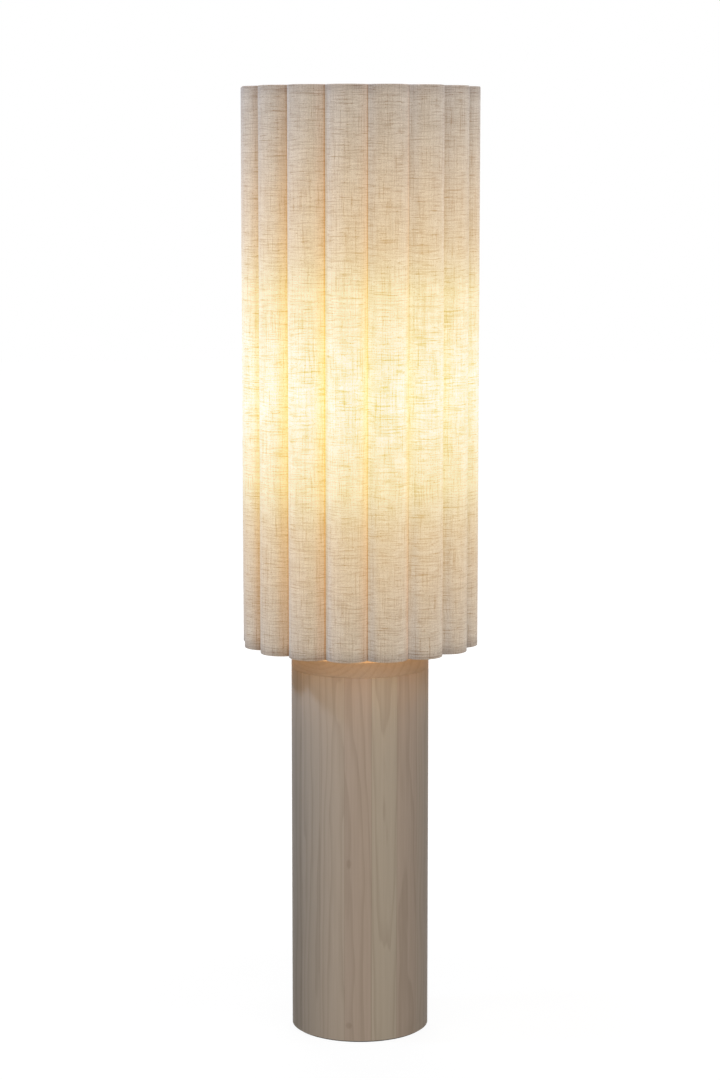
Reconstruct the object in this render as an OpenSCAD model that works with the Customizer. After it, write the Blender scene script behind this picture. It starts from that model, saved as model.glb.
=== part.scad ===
// Floor lamp: a fluted linen drum shade, lit from inside, on a round column of wooden staves.
// The origin is on the floor, under the middle of the column. +Z is up and the front faces -Y.

/* [Column] */
// Outer diameter of the column and of its cap disc
column_d = 175; // [145:1:215]
// Length of the staves, from the felt ring to the cap disc
stave_l = 468; // [380:1:600]
// Thickness of the column's wall
stave_t = 20; // [16:0.5:25]
// Number of staves round the column
stave_count = 16; // [12:1:20]
// Turn of the first stave joint to the right of the front, in degrees
stave_turn = 9.6; // [0:0.1:22]
// Thickness of the cap disc
cap_t = 20; // [16:0.5:30]
// Chamfer on both sides of the joint between cap and staves
joint_chamfer = 0.4; // [0.1:0.1:1]
// Chamfer round the upper edge of the cap disc
cap_chamfer = 1; // [0.5:0.1:3]
// Thickness of the felt ring under the column
felt_t = 2; // [1:0.5:4]
// How far the felt ring stays back from the outside of the column
felt_inset = 3; // [1:0.5:6]

/* [Base] */
// Depth of the open recess between the felt and the base plug
recess_h = 26; // [24:1:40]
// Thickness of the plug that closes the bottom of the column
base_plug_t = 18; // [12:1:25]
// Thickness of the plug under the cap disc
top_plug_t = 18; // [12:1:25]
// Height of the iron weight
ballast_h = 60; // [30:1:90]
// Gap between the iron weight and the column's wall
ballast_gap = 2.5; // [1:0.5:6]
// Height of the cord inlet above the bottom edge of the column
inlet_h = 11; // [9:0.5:14]
// Bore of the bush in the cord inlet
inlet_bore = 7; // [6:0.5:8]
// Outer diameter of the barrel of that bush
inlet_d = 10; // [9.5:0.5:12]
// Diameter of the bush's outer flange
inlet_flange_d = 14; // [13:0.5:18]
// Thickness of the bush's outer flange
inlet_flange_t = 1.6; // [1:0.1:3]

/* [Stem] */
// Outer diameter of the threaded pipe
pipe_d = 10; // [9:0.5:12]
// Bore of the threaded pipe, for the lead
pipe_bore = 7; // [6:0.5:8]
// Outer diameter of the sleeve round the pipe inside the shade
sleeve_d = 16; // [15:0.5:20]
// Wall of that sleeve
sleeve_wall = 1.5; // [1:0.1:1.8]
// Length of that sleeve, which sets how high the bulb stands
sleeve_l = 205; // [120:1:240]
// Width across the flats of the pipe nuts
nut_flats = 17; // [14:0.5:20]
// Thickness of the pipe nuts
nut_t = 6; // [4:0.5:8]
// Outer diameter of the pipe washers
washer_d = 34; // [24:1:40]
// Thickness of the pipe washers
washer_t = 2; // [1:0.5:3]

/* [Shade] */
// Outer diameter of the shade over the crests of its flutes
shade_d = 300; // [240:1:360]
// Height of the shade
shade_h = 700; // [540:1:840]
// Open gap between the cap disc and the shade's lower rim
shade_gap = 10; // [5:0.5:20]
// Number of flutes
flute_count = 16; // [12:1:20]
// Angle from a flute's crest to its valley, about the flute's own centre; more makes it deeper
flute_angle = 74; // [60:1:80]
// Turn of the first valley to the right of the front, in degrees
shade_turn = 4; // [0:0.1:22]
// Thickness of the linen
linen_t = 0.8; // [0.5:0.1:1.2]
// Thickness of the stiff liner that the linen is laminated to
liner_t = 0.6; // [0.4:0.1:1]
// Width of the tape over the seam
seam_w = 12; // [8:1:20]
// Thickness of the tape over the seam
seam_t = 0.4; // [0.2:0.1:0.6]
// Thickness of the flat steel rings in the two rims
ring_t = 2.5; // [2:0.5:4]
// Width of those rings at a crest
ring_w = 4; // [3:0.5:8]
// How far those rings lie inside the rims
rim_inset = 1.5; // [1:0.1:4]

/* [Shade fitting] */
// Diameter of the four rods from the hub to the lower ring
arm_d = 4; // [3:0.5:5]
// Outer diameter of the hub plate
hub_d = 60; // [56:1:80]
// Thickness of the hub plate
hub_t = 3; // [2:0.5:5]
// Diameter of the threaded spigot that centres the hub
spigot_d = 41.6; // [40.5:0.1:46]
// Height of the spigot above the clamp ring
spigot_over = 2; // [1:0.5:6]
// Diameter of the boss that the hub rests on
boss_d = 54; // [50:1:60]
// Diameter of the seat's foot on the cap disc
seat_d = 74; // [64:1:100]
// Thickness of the seat's foot
seat_t = 3; // [2:0.5:6]
// Outer diameter of the knurled clamp ring
clamp_d = 54; // [50:1:60]
// Height of the clamp ring
clamp_h = 6; // [4:0.5:10]
// Number of grip notches round the clamp ring
clamp_notches = 24; // [12:1:36]

/* [Lampholder] */
// Outer diameter of the lampholder
holder_d = 38; // [37:0.5:39.5]
// Wall of the lampholder's metal shell
holder_wall = 1; // [0.8:0.1:1.2]
// Height of the lampholder's cap
holder_cap_h = 20; // [18:1:30]
// Height of the lampholder's shell
holder_shell_h = 36; // [34:1:40]
// Outer diameter of the bulb's screw base
bulb_base_d = 26.4; // [26:0.1:26.6]
// Diameter of the bulb's glass
bulb_d = 60; // [50:1:66]
// Distance from the bulb's tip contact to the middle of its glass
bulb_centre = 77; // [72:1:90]
// Thickness of the bulb's glass
glass_t = 1; // [0.6:0.1:1.5]

/* [Clearances] */
// Gap between a plug and the bore that it is glued into
glue_gap = 0.15; // [0.05:0.05:0.3]
// Gap between a pipe and the hole that it passes
pass_gap = 0.25; // [0.15:0.05:0.5]
// Gap all round between two threads or a ring and its spigot
thread_gap = 0.05; // [0.02:0.01:0.1]
// Gap between the hub plate and the spigot
hub_gap = 0.4; // [0.3:0.1:1]
// Gap between two laminated or welded pieces
bond_gap = 0.1; // [0.05:0.05:0.2]

/* [Hidden] */
$fn = 72;

STAVES = [for (i = [1 : stave_count]) str("stave_", i)];
ARM_COUNT = 4;
ARMS = [for (i = [1 : ARM_COUNT]) str("spider_arm_", i)];

// Cuts run past the faces that they open by this much
over = 1;
front = -90;

// Levels above the floor, from the bottom up
column_z = felt_t;
base_plug_z = column_z + recess_h;
ballast_z = base_plug_z + base_plug_t;
weight_nut_z = ballast_z + ballast_h;
cap_z = column_z + stave_l;
cap_top = cap_z + cap_t;
shade_z = cap_top + shade_gap;
shade_top = shade_z + shade_h;
lower_ring_z = shade_z + rim_inset;
upper_ring_z = shade_top - rim_inset - ring_t;
hub_top = lower_ring_z + hub_t;
seat_top = hub_top + clamp_h + spigot_over;
holder_z = seat_top + sleeve_l;
pipe_end_gap = 2;
pipe_z = base_plug_z - washer_t - nut_t - pipe_end_gap;

// Column
column_bore = column_d - 2 * stave_t;
stave_angle = 360 / stave_count;
inlet_z = column_z + inlet_h;

// Pipe hardware
pipe_hole = pipe_d + 2 * pass_gap;
pipe_thread = pipe_d + 2 * thread_gap;

// A flute is a round arc: its centre lies at flute_centre from the axis and its radius is flute_r
flute_step = 360 / flute_count;
flute_ratio = sin(flute_step / 2) / sin(flute_angle - flute_step / 2);
flute_centre = shade_d / 2 / (1 + flute_ratio);
flute_r = flute_centre * flute_ratio;
core_r = flute_centre * cos(flute_step / 2);
liner_in = linen_t + bond_gap;
frame_in = liner_in + liner_t + bond_gap;
first_valley = front + shade_turn;
rear_crest = first_valley + (floor(flute_count / 2) + 0.5) * flute_step;

// Lampholder, measured from its own lower end
holder_floor = 2;
holder_ledge = holder_cap_h - 8;
holder_neck_d = 20;
insert_d = holder_d - 2 * holder_wall - 2 * bond_gap;
insert_floor = 18;
insert_wall = 3;
socket_floor = holder_ledge + insert_floor;
socket_d = insert_d - 2 * insert_wall;
thread_bore = bulb_base_d + 2 * thread_gap;
thread_z = socket_floor + 2;
lip_t = 1.2;
lip_w = 1.5;
insert_top = holder_cap_h + holder_shell_h - lip_t - bond_gap;
terminal_x = 9;
terminal_head_d = 5.5;
terminal_head_t = 2;
terminal_d = 3;
terminal_l = 10;
contact_strip = [12, 5, 0.6];
contact_button_d = 5;
contact_button_h = 3;

// Bulb, measured from its tip contact
bulb_z = holder_z + socket_floor + contact_strip.z + contact_button_h;
tip_d = 9;
tip_h = 1.4;
insulator_h = 4;
base_z = tip_h + insulator_h;
base_h = 22;
base_wall = 0.4;
neck_in = 5;
neck_d = bulb_base_d - 2 * base_wall - 2 * bond_gap;
neck_z = base_z + base_h - neck_in;
cone_sink = 0.1;
mount_d = 9;
mount_h = 32;
filament_d = 1.6;
filament_l = 34;
filament_count = 4;
filament_r = 9;
wire_d = 0.8;
filament_z = bulb_centre - filament_l / 2;

module tube(outer_d, inner_d, height) {
    difference() {
        cylinder(d = outer_d, h = height);
        translate([0, 0, -over]) cylinder(d = inner_d, h = height + 2 * over);
    }
}

// Column -------------------------------------------------------------------

module inlet_drill(diameter) {
    translate([0, column_bore / 2 - over, inlet_z])
        rotate([-90, 0, 0])
            cylinder(d = diameter, h = stave_t + 2 * over);
}

// One stave: a slice of the wall with radial sides and a small chamfer under the cap disc
module stave(number) {
    outer_r = column_d / 2;
    color("#b39a82")
        difference() {
            rotate(front + stave_turn + (number - 1) * stave_angle)
                rotate_extrude(angle = stave_angle)
                    polygon([
                        [column_bore / 2, column_z],
                        [outer_r, column_z],
                        [outer_r, cap_z - joint_chamfer],
                        [outer_r - joint_chamfer, cap_z],
                        [column_bore / 2, cap_z]]);
            inlet_drill(inlet_d + 2 * pass_gap);
        }
}

module cap_disc() {
    outer_r = column_d / 2;
    color("#ab8767")
        rotate_extrude()
            polygon([
                [pipe_hole / 2, cap_z],
                [outer_r - joint_chamfer, cap_z],
                [outer_r, cap_z + joint_chamfer],
                [outer_r, cap_top - cap_chamfer],
                [outer_r - cap_chamfer, cap_top],
                [pipe_hole / 2, cap_top]]);
}

module plug(level, thickness) {
    translate([0, 0, level])
        tube(column_bore - 2 * glue_gap, pipe_hole, thickness);
}

module top_plug() {
    color("#c4a884") plug(cap_z - top_plug_t, top_plug_t);
}

module base_plug() {
    color("#c4a884") plug(base_plug_z, base_plug_t);
}

module iron_weight() {
    color("#3a3c3e")
        translate([0, 0, ballast_z])
            tube(column_bore - 2 * ballast_gap, pipe_hole, ballast_h);
}

module felt_ring() {
    color("#4a4642") tube(column_d - 2 * felt_inset, column_bore + 2 * felt_inset, felt_t);
}

// Bush in the inlet at the back: a barrel through the wall and a flange outside it
module cord_bush() {
    color("#2b2b2b")
        translate([0, column_bore / 2, inlet_z])
            rotate([-90, 0, 0])
                difference() {
                    union() {
                        cylinder(d = inlet_d, h = stave_t + inlet_flange_t);
                        translate([0, 0, stave_t])
                            cylinder(d = inlet_flange_d, h = inlet_flange_t);
                    }
                    translate([0, 0, -over])
                        cylinder(d = inlet_bore, h = stave_t + inlet_flange_t + 2 * over);
                }
}

// Stem ---------------------------------------------------------------------

module threaded_pipe() {
    color("#b9a25c")
        translate([0, 0, pipe_z])
            tube(pipe_d, pipe_bore, holder_z + holder_ledge - pipe_z);
}

module hex_nut() {
    difference() {
        cylinder(d = nut_flats / cos(30), h = nut_t, $fn = 6);
        translate([0, 0, -over]) cylinder(d = pipe_thread, h = nut_t + 2 * over);
    }
}

// One nut under the base plug and one over the iron weight
module pipe_nuts() {
    color("#a9abad") {
        translate([0, 0, base_plug_z - washer_t - nut_t]) hex_nut();
        translate([0, 0, weight_nut_z + washer_t]) hex_nut();
    }
}

module pipe_washers() {
    color("#b4b6b8") {
        translate([0, 0, base_plug_z - washer_t]) tube(washer_d, pipe_hole, washer_t);
        translate([0, 0, weight_nut_z]) tube(washer_d, pipe_hole, washer_t);
    }
}

module stem_sleeve() {
    color("#c2a35a")
        translate([0, 0, seat_top]) tube(sleeve_d, sleeve_d - 2 * sleeve_wall, sleeve_l);
}

// Foot on the cap disc, boss under the hub plate and spigot through it, turned in one piece
module shade_seat() {
    color("#c2a35a")
        difference() {
            union() {
                translate([0, 0, cap_top]) cylinder(d = seat_d, h = seat_t);
                translate([0, 0, cap_top]) cylinder(d = boss_d, h = lower_ring_z - cap_top);
                translate([0, 0, cap_top]) cylinder(d = spigot_d, h = seat_top - cap_top);
            }
            translate([0, 0, cap_top - over])
                cylinder(d = pipe_hole, h = seat_top - cap_top + 2 * over);
        }
}

// Lampholder ---------------------------------------------------------------

// A cone under a short drum, screwed on the pipe, with a ledge inside for the insert
module holder_cap() {
    cone_h = holder_ledge - holder_floor;
    color("#c2a35a")
        translate([0, 0, holder_z])
            difference() {
                union() {
                    cylinder(d1 = holder_neck_d, d2 = holder_d, h = cone_h);
                    translate([0, 0, cone_h]) cylinder(d = holder_d, h = holder_cap_h - cone_h);
                }
                translate([0, 0, -over]) cylinder(d = pipe_thread, h = holder_cap_h);
                translate([0, 0, holder_floor])
                    cylinder(
                        d1 = holder_neck_d - 2 * holder_wall,
                        d2 = insert_d - 2 * lip_w,
                        h = cone_h);
                translate([0, 0, holder_ledge])
                    cylinder(d = insert_d + 2 * bond_gap, h = holder_cap_h);
            }
}

module holder_shell() {
    color("#c2a35a")
        translate([0, 0, holder_z + holder_cap_h])
            difference() {
                cylinder(d = holder_d, h = holder_shell_h);
                translate([0, 0, -over])
                    cylinder(d = insert_d + 2 * bond_gap, h = holder_shell_h - lip_t + over);
                cylinder(d = insert_d - 2 * lip_w, h = holder_shell_h + over);
            }
}

// Porcelain cup with two holes for the terminal screws in its floor
module holder_insert() {
    color("#efece4")
        translate([0, 0, holder_z])
            difference() {
                translate([0, 0, holder_ledge])
                    cylinder(d = insert_d, h = insert_top - holder_ledge);
                translate([0, 0, socket_floor]) cylinder(d = socket_d, h = insert_top);
                for (side = [-1, 1])
                    translate([side * terminal_x, 0, holder_ledge - over])
                        cylinder(d = terminal_d + 2 * bond_gap, h = terminal_l + 2 * over);
            }
}

module holder_thread() {
    color("#c9ae62")
        translate([0, 0, holder_z + thread_z])
            tube(socket_d - 2 * bond_gap, thread_bore, insert_top - thread_z);
}

module centre_contact() {
    color("#c9ae62")
        translate([0, 0, holder_z + socket_floor]) {
            translate([-contact_strip.x / 2, -contact_strip.y / 2, 0]) cube(contact_strip);
            cylinder(d = contact_button_d, h = contact_strip.z + contact_button_h);
        }
}

module terminal_screws() {
    color("#a9abad")
        for (side = [-1, 1])
            translate([side * terminal_x, 0, holder_z + holder_ledge - terminal_head_t]) {
                cylinder(d = terminal_head_d, h = terminal_head_t);
                cylinder(d = terminal_d, h = terminal_head_t + terminal_l);
            }
}

// Shade --------------------------------------------------------------------

module clamp_ring() {
    notch_d = 2;
    color("#c2a35a")
        translate([0, 0, hub_top])
            difference() {
                tube(clamp_d, spigot_d + 2 * thread_gap, clamp_h);
                for (i = [0 : clamp_notches - 1])
                    rotate(i * 360 / clamp_notches)
                        translate([clamp_d / 2 + notch_d / 4, 0, -over])
                            cylinder(d = notch_d, h = clamp_h + 2 * over);
            }
}

// Distance from the axis to a valley of the outline that is drawn in by inset
function valley_r(inset) =
    let (half_gap = flute_centre * sin(flute_step / 2))
    core_r + sqrt(max(0, pow(flute_r - inset, 2) - pow(half_gap, 2)));

// Fluted outline, drawn in from the outside of the shade by inset
module flutes(inset) {
    circle(r = core_r);
    for (i = [0 : flute_count - 1])
        rotate(first_valley + (i + 0.5) * flute_step)
            translate([flute_centre, 0]) circle(r = flute_r - inset);
}

module fluted_wall(level, height, outer_inset, inner_inset) {
    translate([0, 0, level])
        linear_extrude(height)
            difference() {
                flutes(outer_inset);
                flutes(inner_inset);
            }
}

module linen_cover() {
    color("#d9c9ad") fluted_wall(shade_z, shade_h, 0, linen_t);
}

module shade_liner() {
    color("#efe6cf")
        fluted_wall(lower_ring_z, shade_h - 2 * rim_inset, liner_in, liner_in + liner_t);
}

// Strip inside the crest at the back, over the butt joint of the liner
module seam_tape() {
    tape_z = lower_ring_z + ring_t + bond_gap;
    tape_r = flute_r - frame_in;
    tape_angle = seam_w / tape_r * 180 / PI;
    color("#f3efe2")
        rotate(rear_crest)
            translate([flute_centre, 0, tape_z])
                rotate(-tape_angle / 2)
                    rotate_extrude(angle = tape_angle)
                        translate([tape_r - seam_t, 0])
                            square([seam_t, upper_ring_z - bond_gap - tape_z]);
}

module upper_ring() {
    color("#e8e6e0") fluted_wall(upper_ring_z, ring_t, frame_in, frame_in + ring_w);
}

module lower_ring() {
    color("#e8e6e0") fluted_wall(lower_ring_z, ring_t, frame_in, frame_in + ring_w);
}

module spider_hub() {
    color("#e8e6e0")
        translate([0, 0, lower_ring_z]) tube(hub_d, spigot_d + 2 * hub_gap, hub_t);
}

// One rod from the hub plate to the lower ring, at the valley nearest to its quarter
module spider_arm(number) {
    quarter = (number - 0.5) * flute_count / ARM_COUNT;
    start = hub_d / 2 + bond_gap;
    end = valley_r(frame_in + ring_w) - bond_gap;
    color("#e8e6e0")
        rotate(first_valley + round(quarter) * flute_step)
            translate([start, 0, lower_ring_z + arm_d / 2])
                rotate([0, 90, 0])
                    cylinder(d = arm_d, h = end - start);
}

// Bulb ---------------------------------------------------------------------

// Half outline of the glass: a round bowl on a cone that runs just under its skin, and a neck
module bulb_outline(bowl_r, neck_r) {
    shoulder_z = base_z + base_h;
    drop = bulb_centre - shoulder_z;
    touch_r = bowl_r - cone_sink;
    reach = sqrt(neck_r * neck_r + drop * drop);
    meet = atan2(-drop, neck_r) + acos(touch_r / reach);
    meet_r = touch_r * cos(meet);
    meet_z = bulb_centre + touch_r * sin(meet);
    intersection() {
        union() {
            translate([0, bulb_centre]) circle(r = bowl_r);
            polygon([
                [0, neck_z],
                [neck_r, neck_z],
                [neck_r, shoulder_z],
                [meet_r, meet_z],
                [0, meet_z]]);
        }
        translate([0, neck_z]) square([bulb_d, bulb_centre + bulb_d]);
    }
}

module bulb_glass() {
    color("#fff6df")
        translate([0, 0, bulb_z])
            rotate_extrude()
                difference() {
                    bulb_outline(bulb_d / 2, neck_d / 2);
                    bulb_outline(bulb_d / 2 - glass_t, neck_d / 2 - glass_t);
                }
}

module bulb_base() {
    color("#c8cacc")
        translate([0, 0, bulb_z + base_z])
            difference() {
                cylinder(d = bulb_base_d, h = base_h);
                translate([0, 0, base_wall])
                    cylinder(d = bulb_base_d - 2 * base_wall, h = base_h);
            }
}

module bulb_insulator() {
    color("#26262a")
        translate([0, 0, bulb_z + tip_h])
            cylinder(d1 = tip_d + 2, d2 = bulb_base_d - 2 * base_wall, h = insulator_h);
}

module bulb_contact() {
    color("#b4b6b8") translate([0, 0, bulb_z]) cylinder(d = tip_d, h = tip_h);
}

// Glass stem on the screw base, a wire up its middle and a cross of wires at each end
module filament_mount() {
    stem_z = base_z + base_wall;
    color("#dfe6e4")
        translate([0, 0, bulb_z]) {
            translate([0, 0, stem_z]) cylinder(d = mount_d, h = mount_h);
            translate([0, 0, stem_z])
                cylinder(d = 2 * wire_d, h = filament_z + filament_l + wire_d - stem_z);
            for (level = [filament_z - wire_d / 2, filament_z + filament_l + wire_d / 2])
                for (i = [0 : filament_count - 1])
                    rotate(i * 360 / filament_count)
                        translate([0, 0, level])
                            rotate([0, 90, 0])
                                cylinder(d = wire_d, h = filament_r + filament_d / 2);
        }
}

module bulb_filaments() {
    color("#ffb347")
        translate([0, 0, bulb_z + filament_z])
            for (i = [0 : filament_count - 1])
                rotate(i * 360 / filament_count)
                    translate([filament_r, 0, 0]) cylinder(d = filament_d, h = filament_l);
}

for (i = [1 : stave_count])
    stave(i);
cap_disc();
top_plug();
base_plug();
iron_weight();
felt_ring();
cord_bush();
threaded_pipe();
pipe_nuts();
pipe_washers();
stem_sleeve();
shade_seat();
holder_cap();
holder_shell();
holder_insert();
holder_thread();
centre_contact();
terminal_screws();
clamp_ring();
linen_cover();
shade_liner();
seam_tape();
upper_ring();
lower_ring();
spider_hub();
for (i = [1 : ARM_COUNT])
    spider_arm(i);
bulb_glass();
bulb_base();
bulb_insulator();
bulb_contact();
filament_mount();
bulb_filaments();
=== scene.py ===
"""Floor lamp: a fluted linen shade, lit from inside, on a round column of wooden staves.

Laid out as an add-on and run as a script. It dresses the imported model, in metres: the origin is
on the floor under the middle of the column, +Z is up and the front faces -Y.
"""

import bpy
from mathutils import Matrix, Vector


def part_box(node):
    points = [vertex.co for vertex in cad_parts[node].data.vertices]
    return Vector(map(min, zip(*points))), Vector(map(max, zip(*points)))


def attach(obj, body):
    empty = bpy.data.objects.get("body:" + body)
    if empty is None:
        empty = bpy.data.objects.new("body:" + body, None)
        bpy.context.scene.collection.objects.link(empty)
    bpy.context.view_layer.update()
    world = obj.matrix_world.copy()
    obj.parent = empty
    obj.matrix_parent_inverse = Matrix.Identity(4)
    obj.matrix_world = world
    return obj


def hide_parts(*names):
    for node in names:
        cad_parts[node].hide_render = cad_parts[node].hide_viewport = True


bl_info = {
    "name": "Fluted linen floor lamp",
    "version": (1, 0, 0),
    "blender": (4, 5, 0),
    "location": "3D View > Sidebar > Lamp",
    "description": "Dresses the packed floor lamp with its linen, wood, metal, bulb and studio",
    "category": "Object",
}

import math

import bpy
from bpy.props import (
    FloatProperty,
    FloatVectorProperty,
    IntProperty,
    PointerProperty,
)
from mathutils import Vector

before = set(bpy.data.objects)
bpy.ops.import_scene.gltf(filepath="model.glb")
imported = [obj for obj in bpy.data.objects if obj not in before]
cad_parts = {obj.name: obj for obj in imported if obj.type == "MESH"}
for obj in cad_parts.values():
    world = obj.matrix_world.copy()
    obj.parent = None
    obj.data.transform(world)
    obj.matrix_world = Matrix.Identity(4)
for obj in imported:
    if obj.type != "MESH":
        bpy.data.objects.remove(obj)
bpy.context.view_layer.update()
MM = 0.001
# The rings' inner edge lies this far inside the shade's outside
RING_IN = 5.6 * MM
# This far on either side of the linen's seam the mesh has a column that keeps it sharp
SEAM = 0.15 * MM
# About half the width of a stave at the column's outside
HALF_STAVE = 17 * MM
# Linear colours with their alpha
WHITE = (1.0, 1.0, 1.0, 1.0)
BLACK = (0.0, 0.0, 0.0, 1.0)
# Settings of a Mix node that multiplies colours
MULTIPLY = {"data_type": "RGBA", "blend_type": "MULTIPLY"}
# Brushed brass: pale and dark colour, roughness, and lines per metre along X, Y and Z
BRASS = ("#d6bb80", "#b29358", 0.3, (60, 60, 2500))


def linear(hex_colour):
    """Turn an sRGB hex colour into the linear values that Blender works in."""
    parts = [int(hex_colour[i : i + 2], 16) / 255 for i in (1, 3, 5)]
    return tuple(c / 12.92 if c <= 0.04045 else ((c + 0.055) / 1.055) ** 2.4 for c in parts)


# Sizes and colours that a user would change ------------------------------------------------


class LampShade(bpy.types.PropertyGroup):
    diameter: FloatProperty(
        name="Diameter",
        description="Outer diameter over the crests of the flutes",
        default=0.300,
        unit="LENGTH",
    )
    flutes: IntProperty(
        name="Flutes", description="Number of flutes round the shade", default=16, min=12, max=20
    )
    flute_angle: FloatProperty(
        name="Flute angle",
        description="Angle from a crest to its valley, about the flute's own centre",
        default=math.radians(74),
        subtype="ANGLE",
    )
    turn: FloatProperty(
        name="Turn",
        description="Angle from the front to the first valley on its right",
        default=math.radians(4),
        subtype="ANGLE",
    )
    cloth: FloatProperty(
        name="Cloth", description="Thickness of the linen", default=0.0008, unit="LENGTH"
    )
    hem: FloatProperty(
        name="Hem",
        description="Height of the hem that is glued down inside the upper rim",
        default=0.012,
        unit="LENGTH",
    )
    lap: FloatProperty(
        name="Lap",
        description="Overlap of the linen at its seam, on the crest at the back",
        default=0.009,
        unit="LENGTH",
    )
    pale_thread: FloatVectorProperty(
        name="Pale thread",
        description="Colour of the thin, even threads",
        default=linear("#bfb9b7"),
        subtype="COLOR",
    )
    grey_thread: FloatVectorProperty(
        name="Grey thread",
        description="Colour where the even threads lie closer",
        default=linear("#8a8887"),
        subtype="COLOR",
    )
    slub: FloatVectorProperty(
        name="Slub",
        description="Colour of the slubs, where the yarn is thick and brown",
        default=linear("#6c5a55"),
        subtype="COLOR",
    )
    glow_height: FloatProperty(
        name="Glow height",
        description="Height above the floor at which the linen is brightest",
        default=0.830,
        unit="LENGTH",
    )
    glow_spread: FloatProperty(
        name="Glow spread",
        description="Distance along the shade over which the glow falls to a third",
        default=0.205,
        unit="LENGTH",
    )


class LampWood(bpy.types.PropertyGroup):
    staves: IntProperty(
        name="Staves", description="Number of staves round the column", default=16, min=12, max=20
    )
    batch: IntProperty(
        name="Batch", description="Which batch of boards the staves are cut from", default=5104
    )
    turn: FloatProperty(
        name="Turn",
        description="Angle from the front to the first stave joint on its right",
        default=math.radians(9.6),
        subtype="ANGLE",
    )
    pale: FloatVectorProperty(
        name="Pale wood",
        description="Colour of the pale early wood",
        default=linear("#c1b39f"),
        subtype="COLOR",
    )
    rosy: FloatVectorProperty(
        name="Rosy wood",
        description="Colour of the early wood on the boards that are pinker",
        default=linear("#c0ac9b"),
        subtype="COLOR",
    )
    dark: FloatVectorProperty(
        name="Dark wood",
        description="Colour of the late wood and of the streaks",
        default=linear("#93816f"),
        subtype="COLOR",
    )
    ring: FloatProperty(
        name="Ring width", description="Distance between growth rings", default=0.004, unit="LENGTH"
    )


class LampStudio(bpy.types.PropertyGroup):
    distance: FloatProperty(
        name="Distance",
        description="Distance of the camera in front of the column's axis",
        default=3.490,
        unit="LENGTH",
    )
    height: FloatProperty(
        name="Height",
        description="Height of the camera above the floor",
        default=1.1107,
        unit="LENGTH",
    )
    tilt: FloatProperty(
        name="Tilt", description="How far the camera looks down", default=math.radians(7.81),
        subtype="ANGLE",
    )
    lens: FloatProperty(
        name="Lens", description="Focal length for a 36 mm tall picture", default=92.5, min=20
    )
    world: FloatProperty(
        name="Room light", description="Strength of the even light from all round", default=0.06
    )
    front: FloatProperty(
        name="Front light", description="Power of the large light in front", default=64.0,
        unit="POWER",
    )
    sides: FloatProperty(
        name="Side lights",
        description="Power beside the camera: the left light gives 0.6 of it, the right one 0.9",
        default=13.0, unit="POWER",
    )
    above: FloatProperty(
        name="Top light", description="Power of the light overhead", default=24.0, unit="POWER"
    )
    key: FloatProperty(
        name="Window light", description="Power of the small cool light on the left", default=2.5,
        unit="POWER",
    )
    fill: FloatProperty(
        name="Fill light", description="Power of the cool light on the right", default=0.8,
        unit="POWER",
    )
    grid: FloatProperty(
        name="Grid",
        description="Spread that a grid leaves to the cool lights on the left and the right",
        default=math.radians(84.0), subtype="ANGLE",
    )
    back: FloatProperty(
        name="Back light", description="Power of the large light behind", default=100.0,
        unit="POWER",
    )


SETTINGS = {"lamp_shade": LampShade, "lamp_wood": LampWood, "lamp_studio": LampStudio}


# Helpers -----------------------------------------------------------------------------------


def put(tree, kind, inputs=None, stops=None, **settings):
    """Add a node with its settings and links. inputs gives, for each socket, a value, a socket,
    or a node whose first output in use is taken."""
    made = tree.nodes.new("ShaderNode" + kind)
    for name, value in settings.items():
        setattr(made, name, value)
    if stops:
        ramp = made.color_ramp
        while len(ramp.elements) < len(stops):
            ramp.elements.new(1.0)
        for element, (place, colour) in zip(ramp.elements, stops):
            element.position = place
            element.color = (*linear(colour), 1.0)
    for socket, value in (inputs or {}).items():
        if isinstance(value, bpy.types.Node):
            value = next(output for output in value.outputs if output.enabled)
        if isinstance(value, bpy.types.NodeSocket):
            tree.links.new(value, made.inputs[socket])
        else:
            made.inputs[socket].default_value = value
    return made


def new_material(name):
    """An empty material and its node tree."""
    material = bpy.data.materials.new(name)
    material.use_nodes = True
    material.node_tree.nodes.clear()
    return material, material.node_tree


def dress(material, *names):
    """Give CAD nodes or new pieces their material, in place of any that they have."""
    for name in names:
        data = bpy.data.objects[name].data
        data.materials.clear()
        data.materials.append(material)


# Linen -------------------------------------------------------------------------------------


class Flutes:
    """The fluted outline, as the CAD draws it: round arcs on a ring of centres."""

    def __init__(self, shade):
        half_step = math.pi / shade.flutes
        ratio = math.sin(half_step) / math.sin(shade.flute_angle - half_step)
        self.count = shade.flutes
        self.half_step = half_step
        self.angle = shade.flute_angle
        self.centre = shade.diameter / 2 / (1 + ratio)
        self.radius = self.centre * ratio
        self.core = self.centre * math.cos(half_step)
        self.first_valley = -math.pi / 2 + shade.turn
        self.length = 2 * self.angle * self.radius * self.count

    def off_crest(self, arc):
        """Angle about the lamp's axis, from the crest, of the point at arc on the outside."""
        return math.atan2(self.radius * math.sin(arc), self.centre + self.radius * math.cos(arc))

    def reach(self, off, inset):
        """Distance from the axis, at an angle off a crest, of the outline drawn in by inset."""
        side = self.centre * math.sin(off)
        arc = (self.radius - inset) ** 2 - side**2
        core = self.core - max(0.0, inset - RING_IN)
        return max(core, self.centre * math.cos(off) + math.sqrt(max(0.0, arc)))


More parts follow.
